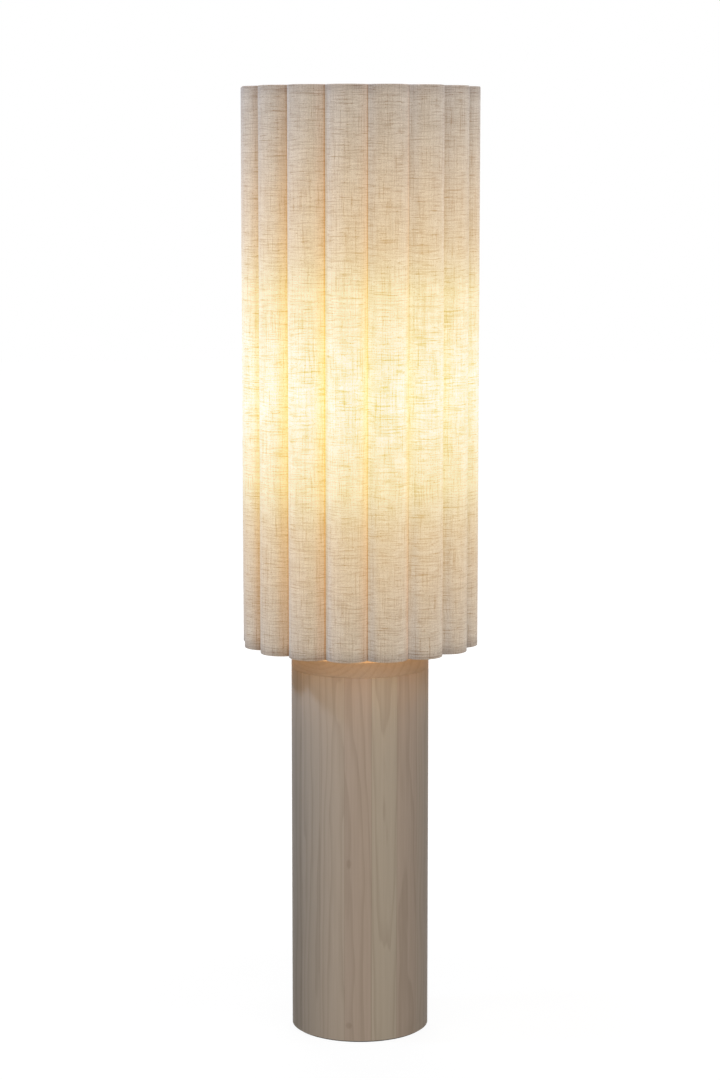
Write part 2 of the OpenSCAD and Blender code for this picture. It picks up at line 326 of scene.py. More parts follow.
def cloth_section(shade):
    """The linen's path over its liner and rings: the face side and the back side, as points
    (inset from the outside, height), with the distance along the cloth. Each starts at the ring's
    inner edge under the lower rim, and ends inside, at the foot of the upper hem."""
    low, high = (corner.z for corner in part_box("linen_cover"))
    t = shade.cloth
    # The glued hem ends this high
    foot = high - 5 * MM - shade.hem
    # Round the lower rim: mm in from the outside, mm up to the face and mm up to the back
    turn = [(5.6, 0.2, 1.4), (3.6, 0.0, 1.4), (1.5, 0.0, 1.4), (0.7, 0.1, 1.4), (0.22, 0.42, 1.4)]
    face = [(inset * MM, low + up * MM) for inset, up, _ in turn] + [(0.02 * MM, low + 1.1 * MM)]
    back = [(max(inset * MM, t), low + up * MM) for inset, _, up in turn] + [(t, low + 1.5 * MM)]
    first_row = len(face)
    rows = 64
    for i in range(1, rows):
        z = low + (high - low) * i / rows
        face.append((0.0, z))
        back.append((t, z))
    # Over the upper rim and down inside: each row is a point of the face and one of the back, as
    # mm in from the outside and mm down from the rim
    over = [
        ((0.02, 1.1), (0.8, 1.45)),
        ((0.22, 0.42), (0.85, 1.38)),
        ((0.7, 0.1), (1.1, 1.35)),
        ((1.5, 0.0), (1.6, 1.35)),
        ((3.6, 0.0), (3.6, 1.35)),
        ((5.5, 0.05), (5.4, 1.35)),
        ((6.2, 0.35), (5.65, 1.4)),
        ((6.45, 0.9), (5.7, 1.6)),
        ((6.5, 2.5), (5.7, 2.5)),
        ((6.5, 4.1), (5.7, 3.9)),
        ((6.3, 4.7), (5.6, 4.15)),
        ((5.8, 4.95), (5.3, 4.2)),
        ((3.4, 5.1), (3.0, 4.3)),
        ((2.65, 5.4), (1.9, 4.6)),
        ((2.4, 6.2), (1.6, 5.6)),
    ]
    for (in_face, down_face), (in_back, down_back) in over:
        face.append((in_face * MM, high - down_face * MM))
        back.append((in_back * MM, high - down_back * MM))
    for z in (foot + 4 * MM, foot):
        face.append((2.4 * MM, z))
        back.append((1.6 * MM, z))
    run = [0.0]
    for (a, b), (c, d) in zip(face, face[1:]):
        run.append(run[-1] + math.hypot(c - a, d - b))
    # On the outside the distance along the cloth then equals the height above the floor
    shift = face[first_row][1] - run[first_row]
    return face, back, [r + shift for r in run]


def linen_columns(flutes):
    """The upright lines of the linen's mesh, from its seam on the crest at the back all the way
    round: angle round the lamp, angle off the crest, distance along the cloth, and arc."""
    segments = 24
    start = flutes.first_valley + 2 * flutes.half_step * (flutes.count // 2)
    columns = []
    for flute in range(flutes.count + 1):
        crest = start + flutes.half_step * (2 * flute + 1)
        for i in range(segments):
            arc = flutes.angle * (2 * i / segments - 1)
            from_valley = flutes.radius * (arc + flutes.angle)
            along = 2 * flutes.angle * flutes.radius * (flute - 0.5) + from_valley
            if 0 < along < flutes.length:
                columns.append((crest + flutes.off_crest(arc), flutes.off_crest(arc), along, arc))
    for along, from_crest in ((SEAM, SEAM), (flutes.length - SEAM, -SEAM)):
        arc = from_crest / flutes.radius
        off = flutes.off_crest(arc)
        columns.append((start + flutes.half_step + off, off, along, arc))
    return sorted(columns, key=lambda column: column[2])


def build_linen(shade):
    """The linen as one closed sheet, with its hems and its lap seam at the back."""
    flutes = Flutes(shade)
    columns = linen_columns(flutes)
    face, back, run = cloth_section(shade)
    low, high = (corner.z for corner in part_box("linen_cover"))

    def lift(along):
        """The outer layer rides up by 0.45 mm over the first three tenths of the lap."""
        before_edge = (flutes.length - along) / shade.lap
        rise = min(1.0, max(0.0, (1.0 - before_edge) / 0.3))
        return 0.45 * MM * rise * rise * (3 - 2 * rise)

    def ease(along, z):
        """Glued cloth lies in waves of about a tenth of a millimetre, which end at the rims."""
        wave = math.sin(41 * along + 5.1 * z) + 0.7 * math.sin(97 * along - 13 * z + 1.3)
        share = min(1.0, max(0.0, (z - low) / (high - low)))
        return 0.10 * MM * wave * math.sin(math.pi * share)

    section = face + back[::-1]
    path = run + run[::-1]
    outside = len(face)
    vertices, faces, coordinates, spans = [], [], [], []
    for polar, off, along, arc in columns:
        for i, (inset, z) in enumerate(section):
            # Only the outside is lifted: the back stays on the liner
            outer = i < outside and inset < 0.5 * MM
            r = flutes.reach(off, inset) + ease(along, z) + (lift(along) if outer else 0.0)
            vertices.append((r * math.cos(polar), r * math.sin(polar), z))
    size = len(section)
    count = len(columns)
    for c in range(count):
        n = (c + 1) % count
        u0, u1 = columns[c][2], columns[n][2] if n else flutes.length + SEAM
        arc0, arc1 = columns[c][3], columns[n][3]
        # In a valley the last arc ends and the next one starts
        if arc1 < arc0 - flutes.angle:
            arc1 = flutes.angle
        for i in range(size):
            j = (i + 1) % size
            faces.append((c * size + i, n * size + i, n * size + j, c * size + j))
            coordinates.append(((u0, path[i]), (u1, path[i]), (u1, path[j]), (u0, path[j])))
            spans.append((arc0, arc1, arc1, arc0))
    mesh = bpy.data.meshes.new("linen_shade")
    mesh.from_pydata(vertices, [], faces)
    cloth = mesh.uv_layers.new(name="cloth")
    arcs = mesh.uv_layers.new(name="arc")
    for polygon, corners, span in zip(mesh.polygons, coordinates, spans):
        for loop, corner, arc in zip(polygon.loop_indices, corners, span):
            cloth.data[loop].uv = corner
            arcs.data[loop].uv = (arc / flutes.angle, 0.0)
    mesh.validate()
    mesh.shade_smooth()
    piece = bpy.data.objects.new("linen_shade", mesh)
    bpy.context.scene.collection.objects.link(piece)
    flat = (flutes.length + shade.lap, run[-1] - run[0])
    return piece, flat


def yarn_densities(tree, in_mm):
    """How close the even yarns lie and how thick the slubs are, by noise drawn out along them."""
    # The yarns wander by about a millimetre over 40 mm
    wander = put(
        tree, "TexNoise", {"Vector": in_mm, "Scale": 1 / 40, "Detail": 2.0}, noise_dimensions="2D"
    )
    bent = put(
        tree, "VectorMath", {0: wander.outputs["Color"], 1: (4, 4, 0), 2: in_mm},
        operation="MULTIPLY_ADD",
    )
    # Real yarns are 0.7 mm apart, too fine to show from here, so the fine weave is drawn 1.5 mm
    # apart. Each layer: mm across and up, where it starts and is full, and its share. Shifts
    # keep them from repeating each other.
    weave = [
        (40.0, 1.8, 0.38, 0.66, 0.19),
        (2.0, 110.0, 0.38, 0.66, 0.18),
        (22.0, 18.0, 0.38, 0.62, 0.12),
        (1.5, 1.5, 0.36, 0.64, 0.30),
    ]
    slubs = [
        (20.0, 1.3, 0.58, 0.71, 0.42),
        (60.0, 1.4, 0.62, 0.73, 0.42),
        (1.4, 50.0, 0.61, 0.74, 0.42),
        (3.0, 1.8, 0.68, 0.75, 0.50),
    ]
    densities = []
    for layers in (weave, slubs):
        total = 0.0
        for i, (across, up, low, high, share) in enumerate(layers):
            place = put(
                tree, "VectorMath",
                {0: bent, 1: (1 / across, 1 / up, 0), 2: (7.3 * i, 3.1 * i, 0)},
                operation="MULTIPLY_ADD",
            )
            noise = put(
                tree, "TexNoise", {"Vector": place, "Scale": 1.0, "Detail": 1.5},
                noise_dimensions="2D",
            )
            yarn = put(
                tree, "MapRange", {"Value": noise, "From Min": low, "From Max": high},
                interpolation_type="SMOOTHSTEP",
            )
            total = put(tree, "Math", {0: yarn, 1: share, 2: total}, operation="MULTIPLY_ADD")
        densities.append(total)
    return densities


def glow_through(tree, height, density, shade):
    """How near the bulb a point is, from 0 to 1, and the light that comes through the yarns."""
    # The glow is the bulb's light through the cloth, painted on; it falls off along the shade as
    # light from a bulb does on a wall
    away = put(tree, "Math", {0: height, 1: shade.glow_height}, operation="SUBTRACT")
    away = put(tree, "Math", {0: away, 1: shade.glow_spread}, operation="DIVIDE")
    spread = put(tree, "Math", {0: away, 1: away, 2: 1.0}, operation="MULTIPLY_ADD")
    glow = put(tree, "Math", {0: spread, 1: -1.5}, operation="POWER")
    glow_colour = put(
        tree, "ValToRGB", {0: glow},
        stops=[
            (0.0, "#251a0d"), (0.13, "#7c6a47"), (0.2, "#957d50"), (0.28, "#a68a56"),
            (0.44, "#b79a61"), (0.64, "#cdb881"), (0.83, "#d0be95"), (1.0, "#d2c5ad"),
        ],
    )
    # Far from the bulb a thick thread only greys the light. Beside it the thread takes out the
    # blue first. Each tint is given far from the bulb and beside it.
    thin, thick = (
        put(tree, "Mix", {0: glow, 6: (*far, 1), 7: (*near, 1)}, data_type="RGBA")
        for far, near in (
            ((1.03, 1.07, 1.18), (1.11, 1.25, 1.49)),
            ((0.97, 0.85, 0.95), (1.07, 0.99, 0.19)),
        )
    )
    sieve = put(tree, "Mix", {0: density, 6: thin, 7: thick}, data_type="RGBA")
    return glow, put(tree, "Mix", {0: 1.0, 6: glow_colour, 7: sieve}, **MULTIPLY)


def paint_flank_light_and_shade(tree, height, glow, ground, lit):
    """Painted shade and light on the flutes. Toward a valley the cloth lies deeper and less light
    gets in, so its colour is painted darker there. The room's light comes cool from the left and is
    painted as a cooler colour on the flanks that face left, and the flanks that face right show the
    lamp's colour instead."""
    # Each zone: the arc where it starts and is full, as a share of the way from the crest to a
    # valley, the painted shade and light that tint the cloth's colour, and the tint of the glow far
    # from the bulb and beside it
    arc = put(tree, "SeparateXYZ", {0: put(tree, "UVMap", uv_map="arc")}).outputs["X"]
    flank_paint_zones = (
        (0.4, 1.0, (0.89, 0.8, 0.77), (1.0, 0.87, 0.78), (1.08, 1.02, 0.58)),
        (-0.35, -1.0, (0.93, 0.98, 1.1), (0.82, 0.86, 0.92), (1.0, 0.97, 0.75)),
        (0.91, 1.0, (0.6, 0.5, 0.42), (1.15, 0.77, 0.38), (1.2, 1.1, 0.65)),
        (-0.96, -1.0, (0.85, 0.80, 0.80), (0.8, 0.8, 0.8), (1.1, 1.05, 0.8)),
    )
    low, high = (corner.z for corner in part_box("linen_cover"))
    # The room's light comes from above, so it reaches further into the valleys at the top, and
    # the painted shade and light are weaker there
    depth = put(
        tree, "MapRange",
        {"Value": height, "From Min": low, "From Max": high, "To Min": 1.6, "To Max": 0.75},
    )
    for start, full, seen, far, near in flank_paint_zones:
        zone = put(
            tree, "MapRange", {"Value": arc, "From Min": start, "From Max": full},
            interpolation_type="SMOOTHSTEP",
        )
        zone = put(tree, "Math", {0: zone, 1: depth}, operation="MULTIPLY", use_clamp=True)
        # Painted shade and light: the cloth's colour is darker in the valleys and cooler on the
        # flanks that face left
        ground = put(tree, "Mix", {0: zone, 6: ground, 7: (*seen, 1)}, **MULTIPLY)
        tint = put(tree, "Mix", {0: glow, 6: (*far, 1), 7: (*near, 1)}, data_type="RGBA")
        lit = put(tree, "Mix", {0: zone, 6: lit, 7: tint}, **MULTIPLY)
    return ground, lit


def linen_material(shade):
    """Natural linen, woven plain from uneven flax yarn and laminated to a film.

    Its yarns swell into slubs, so cool grey-brown strokes run across a paler ground. The lamp's
    light behind, painted on as a glow, shows them again: as grey ones far from the bulb and as
    yellow ones beside it.
    """
    material, tree = new_material("natural_linen_plain_weave")
    uv = put(tree, "UVMap", uv_map="cloth")
    height = put(tree, "SeparateXYZ", {0: uv}).outputs["Y"]
    in_mm = put(tree, "VectorMath", {0: uv, 1: (1000, 1000, 0)}, operation="MULTIPLY")
    even, thick = yarn_densities(tree, in_mm)
    density = put(tree, "Math", {0: even, 1: thick}, operation="ADD")
    ground = put(
        tree, "Mix", {0: even, 6: (*shade.pale_thread, 1), 7: (*shade.grey_thread, 1)},
        data_type="RGBA",
    )
    ground = put(tree, "Mix", {0: thick, 6: ground, 7: (*shade.slub, 1)}, data_type="RGBA")
    glow, lit = glow_through(tree, height, density, shade)
    ground, lit = paint_flank_light_and_shade(tree, height, glow, ground, lit)
    # Where the linen laps over itself at the back it is twice as thick
    u = put(tree, "SeparateXYZ", {0: in_mm}).outputs["X"]
    edge = 1000 * (Flutes(shade).length - shade.lap)
    lapped = put(tree, "MapRange", {"Value": u, "From Min": edge - 0.4, "From Max": edge + 0.4})
    lit = put(tree, "Mix", {0: lapped, 6: lit, 7: (0.6, 0.5, 0.36, 1)}, **MULTIPLY)
    # Behind the rims lie the rings and the hems, so less light comes through there, and the cloth's
    # colour is painted darker and browner there, as shade
    low, high = (corner.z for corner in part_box("linen_cover"))
    below = put(tree, "Math", {0: height, 1: low}, operation="SUBTRACT")
    above = put(tree, "Math", {0: high, 1: height}, operation="SUBTRACT")
    rim = put(tree, "Math", {0: below, 1: above}, operation="MINIMUM")
    rim_shade = put(
        tree, "MapRange", {"Value": rim, "From Min": 1.5 * shade.hem, "From Max": 0, "To Max": 0.5},
        interpolation_type="SMOOTHSTEP",
    )
    lit = put(tree, "Mix", {0: rim_shade, 6: lit, 7: BLACK}, data_type="RGBA")
    # Painted shade: the cloth's colour darker and browner by the rims
    ground = put(tree, "Mix", {0: rim_shade, 6: ground, 7: (0.94, 0.8, 0.68, 1)}, **MULTIPLY)
    bump = put(tree, "Bump", {"Strength": 0.35, "Distance": 0.25 * MM, "Height": density})
    # The sheen stands for the fuzz, which catches the room's light at a slant
    shader = put(
        tree, "BsdfPrincipled",
        {
            "Base Color": ground,
            "Roughness": 0.85,
            "Diffuse Roughness": 1.0,
            "IOR": 1.45,
            "Specular IOR Level": 0.25,
            "Sheen Weight": 0.2,
            "Sheen Roughness": 0.5,
            "Sheen Tint": (0.9, 0.93, 1.0, 1.0),
            "Normal": bump,
            # The painted glow of the bulb's light through the cloth
            "Emission Color": lit,
            "Emission Strength": 1.0,
        },
    )
    put(tree, "OutputMaterial", {0: shader})
    return material


class LAMP_OT_linen(bpy.types.Operator):
    """Make the linen of the shade, with its flutes, hems and seam"""

    bl_idname = "lamp.linen"
    bl_label = "Linen shade"

    def execute(self, context):
        shade = context.scene.lamp_shade
        piece, flat = build_linen(shade)
        piece.data.materials.append(linen_material(shade))
        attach(piece, "shade")
        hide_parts("linen_cover")
        return {"FINISHED"}


# Liner, rings and their carrier ------------------------------------------------------------


def liner_material():
    """Lampshade film, calendered and matt. It has a painted glow that stands in for the bulb's
    light on
    it: it glows all over, and most near its lower end, which lights the top of the column."""
    material, tree = new_material("matt_lampshade_film")
    place = put(tree, "TexCoord").outputs["Object"]
    z = put(tree, "SeparateXYZ", {0: place}).outputs["Z"]
    low, high = (corner.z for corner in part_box("shade_liner"))
    level = put(tree, "MapRange", {"Value": z, "From Min": low, "From Max": high})
    # Painted glow: the bulb's light on the film, strongest near its lower end
    colour = put(
        tree, "ValToRGB", {0: level},
        stops=[
            (0.0, "#f2c186"), (0.12, "#ffcc8c"), (0.3, "#94805c"), (0.47, "#917f60"),
            (0.7, "#78633f"), (1.0, "#5c4a30"),
        ],
    )
    # The cloth's coarse yarns show faintly through the film
    weave = put(tree, "TexNoise", {"Vector": place, "Scale": 180.0, "Detail": 2.0})
    bump = put(tree, "Bump", {"Strength": 0.1, "Distance": 0.1 * MM, "Height": weave})
    shader = put(
        tree, "BsdfPrincipled",
        {
            "Base Color": (*linear("#ece4d2"), 1),
            "Roughness": 0.6,
            "IOR": 1.5,
            "Normal": bump,
            "Emission Color": colour,
            "Emission Strength": 1.0,
        },
    )
    put(tree, "OutputMaterial", {0: shader})
    return material


def powder_coat_material():
    """White powder coat, sprayed and baked: a faint orange peel softens its gloss."""
    material, tree = new_material("white_powder_coat")
    place = put(tree, "TexCoord").outputs["Object"]
    # Orange peel is about 1 mm from hill to hill
    peel = put(tree, "TexNoise", {"Vector": place, "Scale": 1000.0})
    bump = put(tree, "Bump", {"Strength": 0.2, "Distance": 0.05 * MM, "Height": peel})
    tone = put(tree, "TexNoise", {"Vector": place, "Scale": 40.0, "Detail": 2.0})
    colour = put(
        tree, "Mix", {0: tone, 6: (*linear("#dedbd3"), 1), 7: (*linear("#e8e6e0"), 1)},
        data_type="RGBA",
    )
    shader = put(
        tree, "BsdfPrincipled",
        {"Base Color": colour, "Roughness": 0.38, "IOR": 1.5, "Normal": bump},
    )
    put(tree, "OutputMaterial", {0: shader})
    return material


class LAMP_OT_shade_frame(bpy.types.Operator):
    """Finish the liner, the seam tape, the two rings, the hub plate and its rods"""

    bl_idname = "lamp.shade_frame"
    bl_label = "Shade frame"

    def execute(self, context):
        dress(liner_material(), "shade_liner", "seam_tape")
        arms = [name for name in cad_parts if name.startswith("spider_arm")]
        dress(powder_coat_material(), "upper_ring", "lower_ring", "spider_hub", *arms)
        return {"FINISHED"}


# Column ------------------------------------------------------------------------------------


def finish_wood(tree, place, rings, tone, hue, wood, stretch):
    """Oiled wood: growth rings, streaks and fine pores in two tones, under a thin film of oil."""
    for share, finer in ((0.29, 1.0), (0.2, 4.0)):
        along = put(
            tree, "VectorMath", {0: place, 1: [finer * s for s in stretch]}, operation="MULTIPLY"
        )
        fibre = put(tree, "TexNoise", {"Vector": along, "Scale": 1.0, "Detail": 3.0})
        tone = put(tree, "Math", {0: fibre, 1: share, 2: tone}, operation="MULTIPLY_ADD")
    dark = put(tree, "Math", {0: rings, 1: 0.2, 2: tone}, operation="MULTIPLY_ADD")
    pale = put(tree, "Mix", {0: hue, 6: (*wood.pale, 1), 7: (*wood.rosy, 1)}, data_type="RGBA")
    colour = put(tree, "Mix", {0: dark, 6: pale, 7: (*wood.dark, 1)}, data_type="RGBA")
    bump = put(tree, "Bump", {"Strength": 0.15, "Distance": 0.05 * MM, "Height": fibre})
    shader = put(
        tree, "BsdfPrincipled",
        {
            "Base Color": colour,
            "Roughness": 0.55,
            "IOR": 1.45,
            "Specular IOR Level": 0.12,
            "Normal": bump,
        },
    )
    put(tree, "OutputMaterial", {0: shader})


def growth_rings(tree, distance, width):
    """Thin late wood: it darkens toward the end of each ring and stops sharply at the next."""
    share = put(tree, "Math", {0: distance, 1: width}, operation="DIVIDE")
    share = put(tree, "Math", {0: share}, operation="FRACT")
    rise = put(
        tree, "MapRange", {"Value": share, "From Min": 0.45, "From Max": 0.92},
        interpolation_type="SMOOTHSTEP",
    )
    fall = put(
        tree, "MapRange", {"Value": share, "From Min": 1.0, "From Max": 0.92},
        interpolation_type="SMOOTHSTEP",
    )
    return put(tree, "Math", {0: rise, 1: fall}, operation="MULTIPLY")


def stave_material(wood):
    """Pale hardwood sawn to staves, glued up, turned round and oiled.

    Each stave is cut from another board, so its tone and its rings differ from its neighbour's.
    """
    material, tree = new_material("oiled_hardwood_staves")
    place = put(tree, "TexCoord").outputs["Object"]
    x, y, z = put(tree, "SeparateXYZ", {0: place}).outputs
    # Round the column, in staves from the first joint, and from there each stave's own number
    around = put(tree, "Math", {0: y, 1: x}, operation="ARCTAN2")
    first_joint = math.tau + math.pi / 2 - wood.turn
    for operation, value in (("ADD", first_joint), ("DIVIDE", math.tau / wood.staves)):
        around = put(tree, "Math", {0: around, 1: value}, operation=operation)
    number = put(tree, "Math", {0: around}, operation="FLOOR")
    for operation, value in (("ADD", 0.5), ("MODULO", wood.staves), ("ADD", wood.batch)):
        number = put(tree, "Math", {0: number, 1: value}, operation=operation)
    board = put(tree, "TexWhiteNoise", {"W": number}, noise_dimensions="1D").outputs["Color"]
    random = put(tree, "SeparateColor", {0: board}).outputs
    # Across the stave, in metres, from its middle
    share = put(tree, "Math", {0: around}, operation="FRACT")
    across = put(tree, "MapRange", {"Value": share, "To Min": -HALF_STAVE, "To Max": HALF_STAVE})
    # Each board's place in its log: how far off the middle, how deep and how slanted it was cut
    off_middle, depth, slope = (
        put(tree, "Math", {0: draw, 1: span, 2: least}, operation="MULTIPLY_ADD")
        for draw, span, least in zip(random, (0.05, 0.06, 0.03), (-0.025, 0.012, -0.015))
    )
    side = put(tree, "Math", {0: across, 1: off_middle}, operation="ADD")
    row = put(tree, "Math", {0: number, 1: 0.37}, operation="MULTIPLY")
    own = put(tree, "CombineXYZ", {0: side, 1: row, 2: z})
    bent = put(tree, "VectorMath", {0: own, 1: (35, 35, 4)}, operation="MULTIPLY")
    wave = put(tree, "TexNoise", {"Vector": bent, "Scale": 1.0, "Detail": 2.0})
    # Distance from the pith, which leans a little against the stave and so draws long arches
    distance = put(tree, "Math", {0: depth, 1: depth}, operation="MULTIPLY")
    distance = put(tree, "Math", {0: side, 1: side, 2: distance}, operation="MULTIPLY_ADD")
    distance = put(tree, "Math", {0: distance}, operation="SQRT")
    distance = put(tree, "Math", {0: z, 1: slope, 2: distance}, operation="MULTIPLY_ADD")
    distance = put(tree, "Math", {0: wave, 1: 0.014, 2: distance}, operation="MULTIPLY_ADD")
    width = put(
        tree, "Math", {0: random[0], 1: 0.9 * wood.ring, 2: 0.75 * wood.ring},
        operation="MULTIPLY_ADD",
    )
    rings = growth_rings(tree, distance, width)
    tone = put(tree, "Math", {0: random[1], 1: 0.52, 2: -0.16}, operation="MULTIPLY_ADD")
    # Glue darkens the pores along each joint into a hairline
    joint = put(tree, "Math", {0: across}, operation="ABSOLUTE")
    near_joint = {"From Min": HALF_STAVE - 0.6 * MM, "From Max": HALF_STAVE, "To Max": 0.3}
    joint = put(tree, "MapRange", {"Value": joint, **near_joint})
    tone = put(tree, "Math", {0: tone, 1: joint}, operation="ADD")
    # Two small faint knots on the stave at the front: height, radius and share of full roundness
    for height, size, flat in ((0.232, 0.004, 0.5), (0.022, 0.0055, 1.0)):
        apart = put(
            tree, "VectorMath",
            {0: place, 1: (-0.014, -0.0864, height)}, operation="SUBTRACT",
        )
        apart = put(tree, "VectorMath", {0: apart, 1: (1.0, 1.0, flat)}, operation="MULTIPLY")
        apart = put(tree, "VectorMath", {0: apart}, operation="LENGTH").outputs["Value"]
        knot = put(
            tree, "MapRange",
            {"Value": apart, "From Min": size, "From Max": 0.4 * size, "To Max": 0.25},
            interpolation_type="SMOOTHSTEP",
        )
        tone = put(tree, "Math", {0: tone, 1: knot}, operation="ADD")
    finish_wood(tree, own, rings, tone, random[2], wood, (320.0, 320.0, 5.0))
    return material


def cap_material(wood):
    """A turned disc of the same hardwood: flat-sawn, so its edge shows the curve of the rings."""
    material, tree = new_material("oiled_hardwood_disc")
    place = put(tree, "TexCoord").outputs["Object"]
    # The pith runs front to back, above the disc and left of its middle
    bent = put(tree, "VectorMath", {0: place, 1: (0.058, 0.0, -0.497)}, operation="ADD")
    bent = put(tree, "VectorMath", {0: bent, 1: (0.55, 0.0, 1.0)}, operation="MULTIPLY")
    distance = put(tree, "VectorMath", {0: bent}, operation="LENGTH").outputs["Value"]
    wave = put(tree, "TexNoise", {"Vector": place, "Scale": 30.0, "Detail": 2.0})
    distance = put(tree, "Math", {0: wave, 1: 0.006, 2: distance}, operation="MULTIPLY_ADD")
    rings = growth_rings(tree, distance, 1.4 * wood.ring)
    rings = put(tree, "Math", {0: rings, 1: 0.6}, operation="MULTIPLY")
    finish_wood(tree, place, rings, 0.15, 0.5, wood, (300.0, 10.0, 300.0))
    return material


def plywood_material():
    """Birch plywood, rotary-cut and hot-pressed: pale faces and thin glue lines on its edge."""
    material, tree = new_material("birch_plywood")
    place = put(tree, "TexCoord").outputs["Object"]
    z = put(tree, "SeparateXYZ", {0: place}).outputs["Z"]
    # Plies are 1.5 mm thick
    ply = put(tree, "Math", {0: z, 1: 1.5 * MM}, operation="DIVIDE")
    ply = put(tree, "Math", {0: ply}, operation="FRACT")
    glue = put(
        tree, "MapRange", {"Value": ply, "From Min": 0.15, "From Max": 0.05, "To Max": 0.5}
    )
    along = put(tree, "VectorMath", {0: place, 1: (25, 400, 25)}, operation="MULTIPLY")
    grain = put(tree, "TexNoise", {"Vector": along, "Scale": 1.0, "Detail": 3.0})
    dark = put(tree, "Math", {0: grain, 1: 0.5, 2: glue}, operation="MULTIPLY_ADD")
    colour = put(
        tree, "Mix", {0: dark, 6: (*linear("#d9bf97"), 1), 7: (*linear("#9c7a50"), 1)},
        data_type="RGBA",
    )
    shader = put(tree, "BsdfPrincipled", {"Base Color": colour, "Roughness": 0.7})
    put(tree, "OutputMaterial", {0: shader})
    return material


def speckled_material(name, pale, dark, scale, roughness, relief, metallic=0.0):
    """A plain finish with a fine, even grain: scale is in grains per metre, relief in mm."""
    material, tree = new_material(name)
    place = put(tree, "TexCoord").outputs["Object"]
    grain = put(tree, "TexNoise", {"Vector": place, "Scale": scale, "Detail": 3.0})
    share = put(tree, "MapRange", {"Value": grain, "From Min": 0.35, "From Max": 0.65})
    colour = put(
        tree, "Mix", {0: share, 6: (*linear(dark), 1), 7: (*linear(pale), 1)}, data_type="RGBA"
    )
    bump = put(tree, "Bump", {"Strength": 0.5, "Distance": relief * MM, "Height": grain})
    shader = put(
        tree, "BsdfPrincipled",
        {"Base Color": colour, "Roughness": roughness, "Metallic": metallic, "Normal": bump},
    )
    put(tree, "OutputMaterial", {0: shader})
    return material


class LAMP_OT_column(bpy.types.Operator):
    """Finish the staves, the cap disc, the plugs, the weight, the felt ring and the cord bush"""

    bl_idname = "lamp.column"
    bl_label = "Column"

    def execute(self, context):
        wood = context.scene.lamp_wood
        staves = [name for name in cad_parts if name.startswith("stave_")]
        dress(stave_material(wood), *staves)
        dress(cap_material(wood), "cap_disc")
        dress(plywood_material(), "top_plug", "base_plug")
        # Sand-cast iron under a thin black primer: the sand's grain stays, about 1 mm
        iron = speckled_material("cast_iron_primed", "#3d3f41", "#232426", 900, 0.65, 0.2, 0.3)
        dress(iron, "iron_weight")
        # Pressed wool felt: hairy, with no gloss at all
        felt = speckled_material("pressed_wool_felt", "#55504b", "#35312d", 1400, 0.95, 0.3)
        dress(felt, "felt_ring")
        # Black nylon, moulded in an eroded tool, which leaves a fine matt grain
        nylon = speckled_material("black_nylon", "#2e2e30", "#242426", 2500, 0.5, 0.03)
        dress(nylon, "cord_bush")
        return {"FINISHED"}


# Stem, lampholder and bulb -----------------------------------------------------------------


def brushed_metal(name, pale, dark, roughness, across):
    """Metal turned or drawn, then brushed round its axis: fine rings catch the light as a band."""
    material, tree = new_material(name)
    place = put(tree, "TexCoord").outputs["Object"]
    along = put(tree, "VectorMath", {0: place, 1: across}, operation="MULTIPLY")
    lines = put(tree, "TexNoise", {"Vector": along, "Scale": 1.0, "Detail": 3.0})
    colour = put(
        tree, "Mix", {0: lines, 6: (*linear(dark), 1), 7: (*linear(pale), 1)}, data_type="RGBA"
    )
    rough = put(
        tree, "MapRange",
        {"Value": lines, "To Min": roughness - 0.08, "To Max": roughness + 0.08},
    )
    shader = put(
        tree, "BsdfPrincipled", {"Base Color": colour, "Metallic": 1.0, "Roughness": rough}
    )
    put(tree, "OutputMaterial", {0: shader})
    return material


def turned(name, foot, outline):
    """Draw a ring round the lamp's axis and pull it through outline, radii and heights in mm."""
    bpy.ops.object.select_all(action="DESELECT")
    radius, height = outline[0]
    bpy.ops.mesh.primitive_circle_add(
        vertices=96, radius=radius * MM, location=(0, 0, foot + height * MM)
    )
    piece = bpy.context.object
    piece.name = name
    bpy.ops.object.transform_apply(location=True, rotation=True, scale=True)
    bpy.ops.object.mode_set(mode="EDIT")
    bpy.ops.mesh.select_all(action="SELECT")
    for next_radius, next_height in outline[1:]:
        rise = (0, 0, (next_height - height) * MM)
        bpy.ops.mesh.extrude_region_move(TRANSFORM_OT_translate={"value": rise})
        wider = next_radius / radius
        bpy.ops.transform.resize(value=(wider, wider, 1.0))
        radius, height = next_radius, next_height
    bpy.ops.mesh.select_all(action="SELECT")
    bpy.ops.mesh.remove_doubles(threshold=0.001 * MM)
    bpy.ops.mesh.normals_make_consistent(inside=False)
    bpy.ops.object.mode_set(mode="OBJECT")
    bpy.ops.object.shade_smooth_by_angle(angle=math.radians(40))
    return piece


class LAMP_OT_stem(bpy.types.Operator):
    """Finish the pipe, nuts, washers, sleeve, shade seat and clamp ring"""

    bl_idname = "lamp.stem"
    bl_label = "Stem"

    def execute(self, context):
        brass = brushed_metal("brushed_brass", *BRASS)
        dress(brass, "stem_sleeve", "shade_seat", "clamp_ring")
        zinc = brushed_metal("zinc_plated_steel", "#c4c8cc", "#9da2a6", 0.38, (300, 300, 900))
        dress(zinc, "threaded_pipe", "pipe_nuts", "pipe_washers", "terminal_screws")
        return {"FINISHED"}


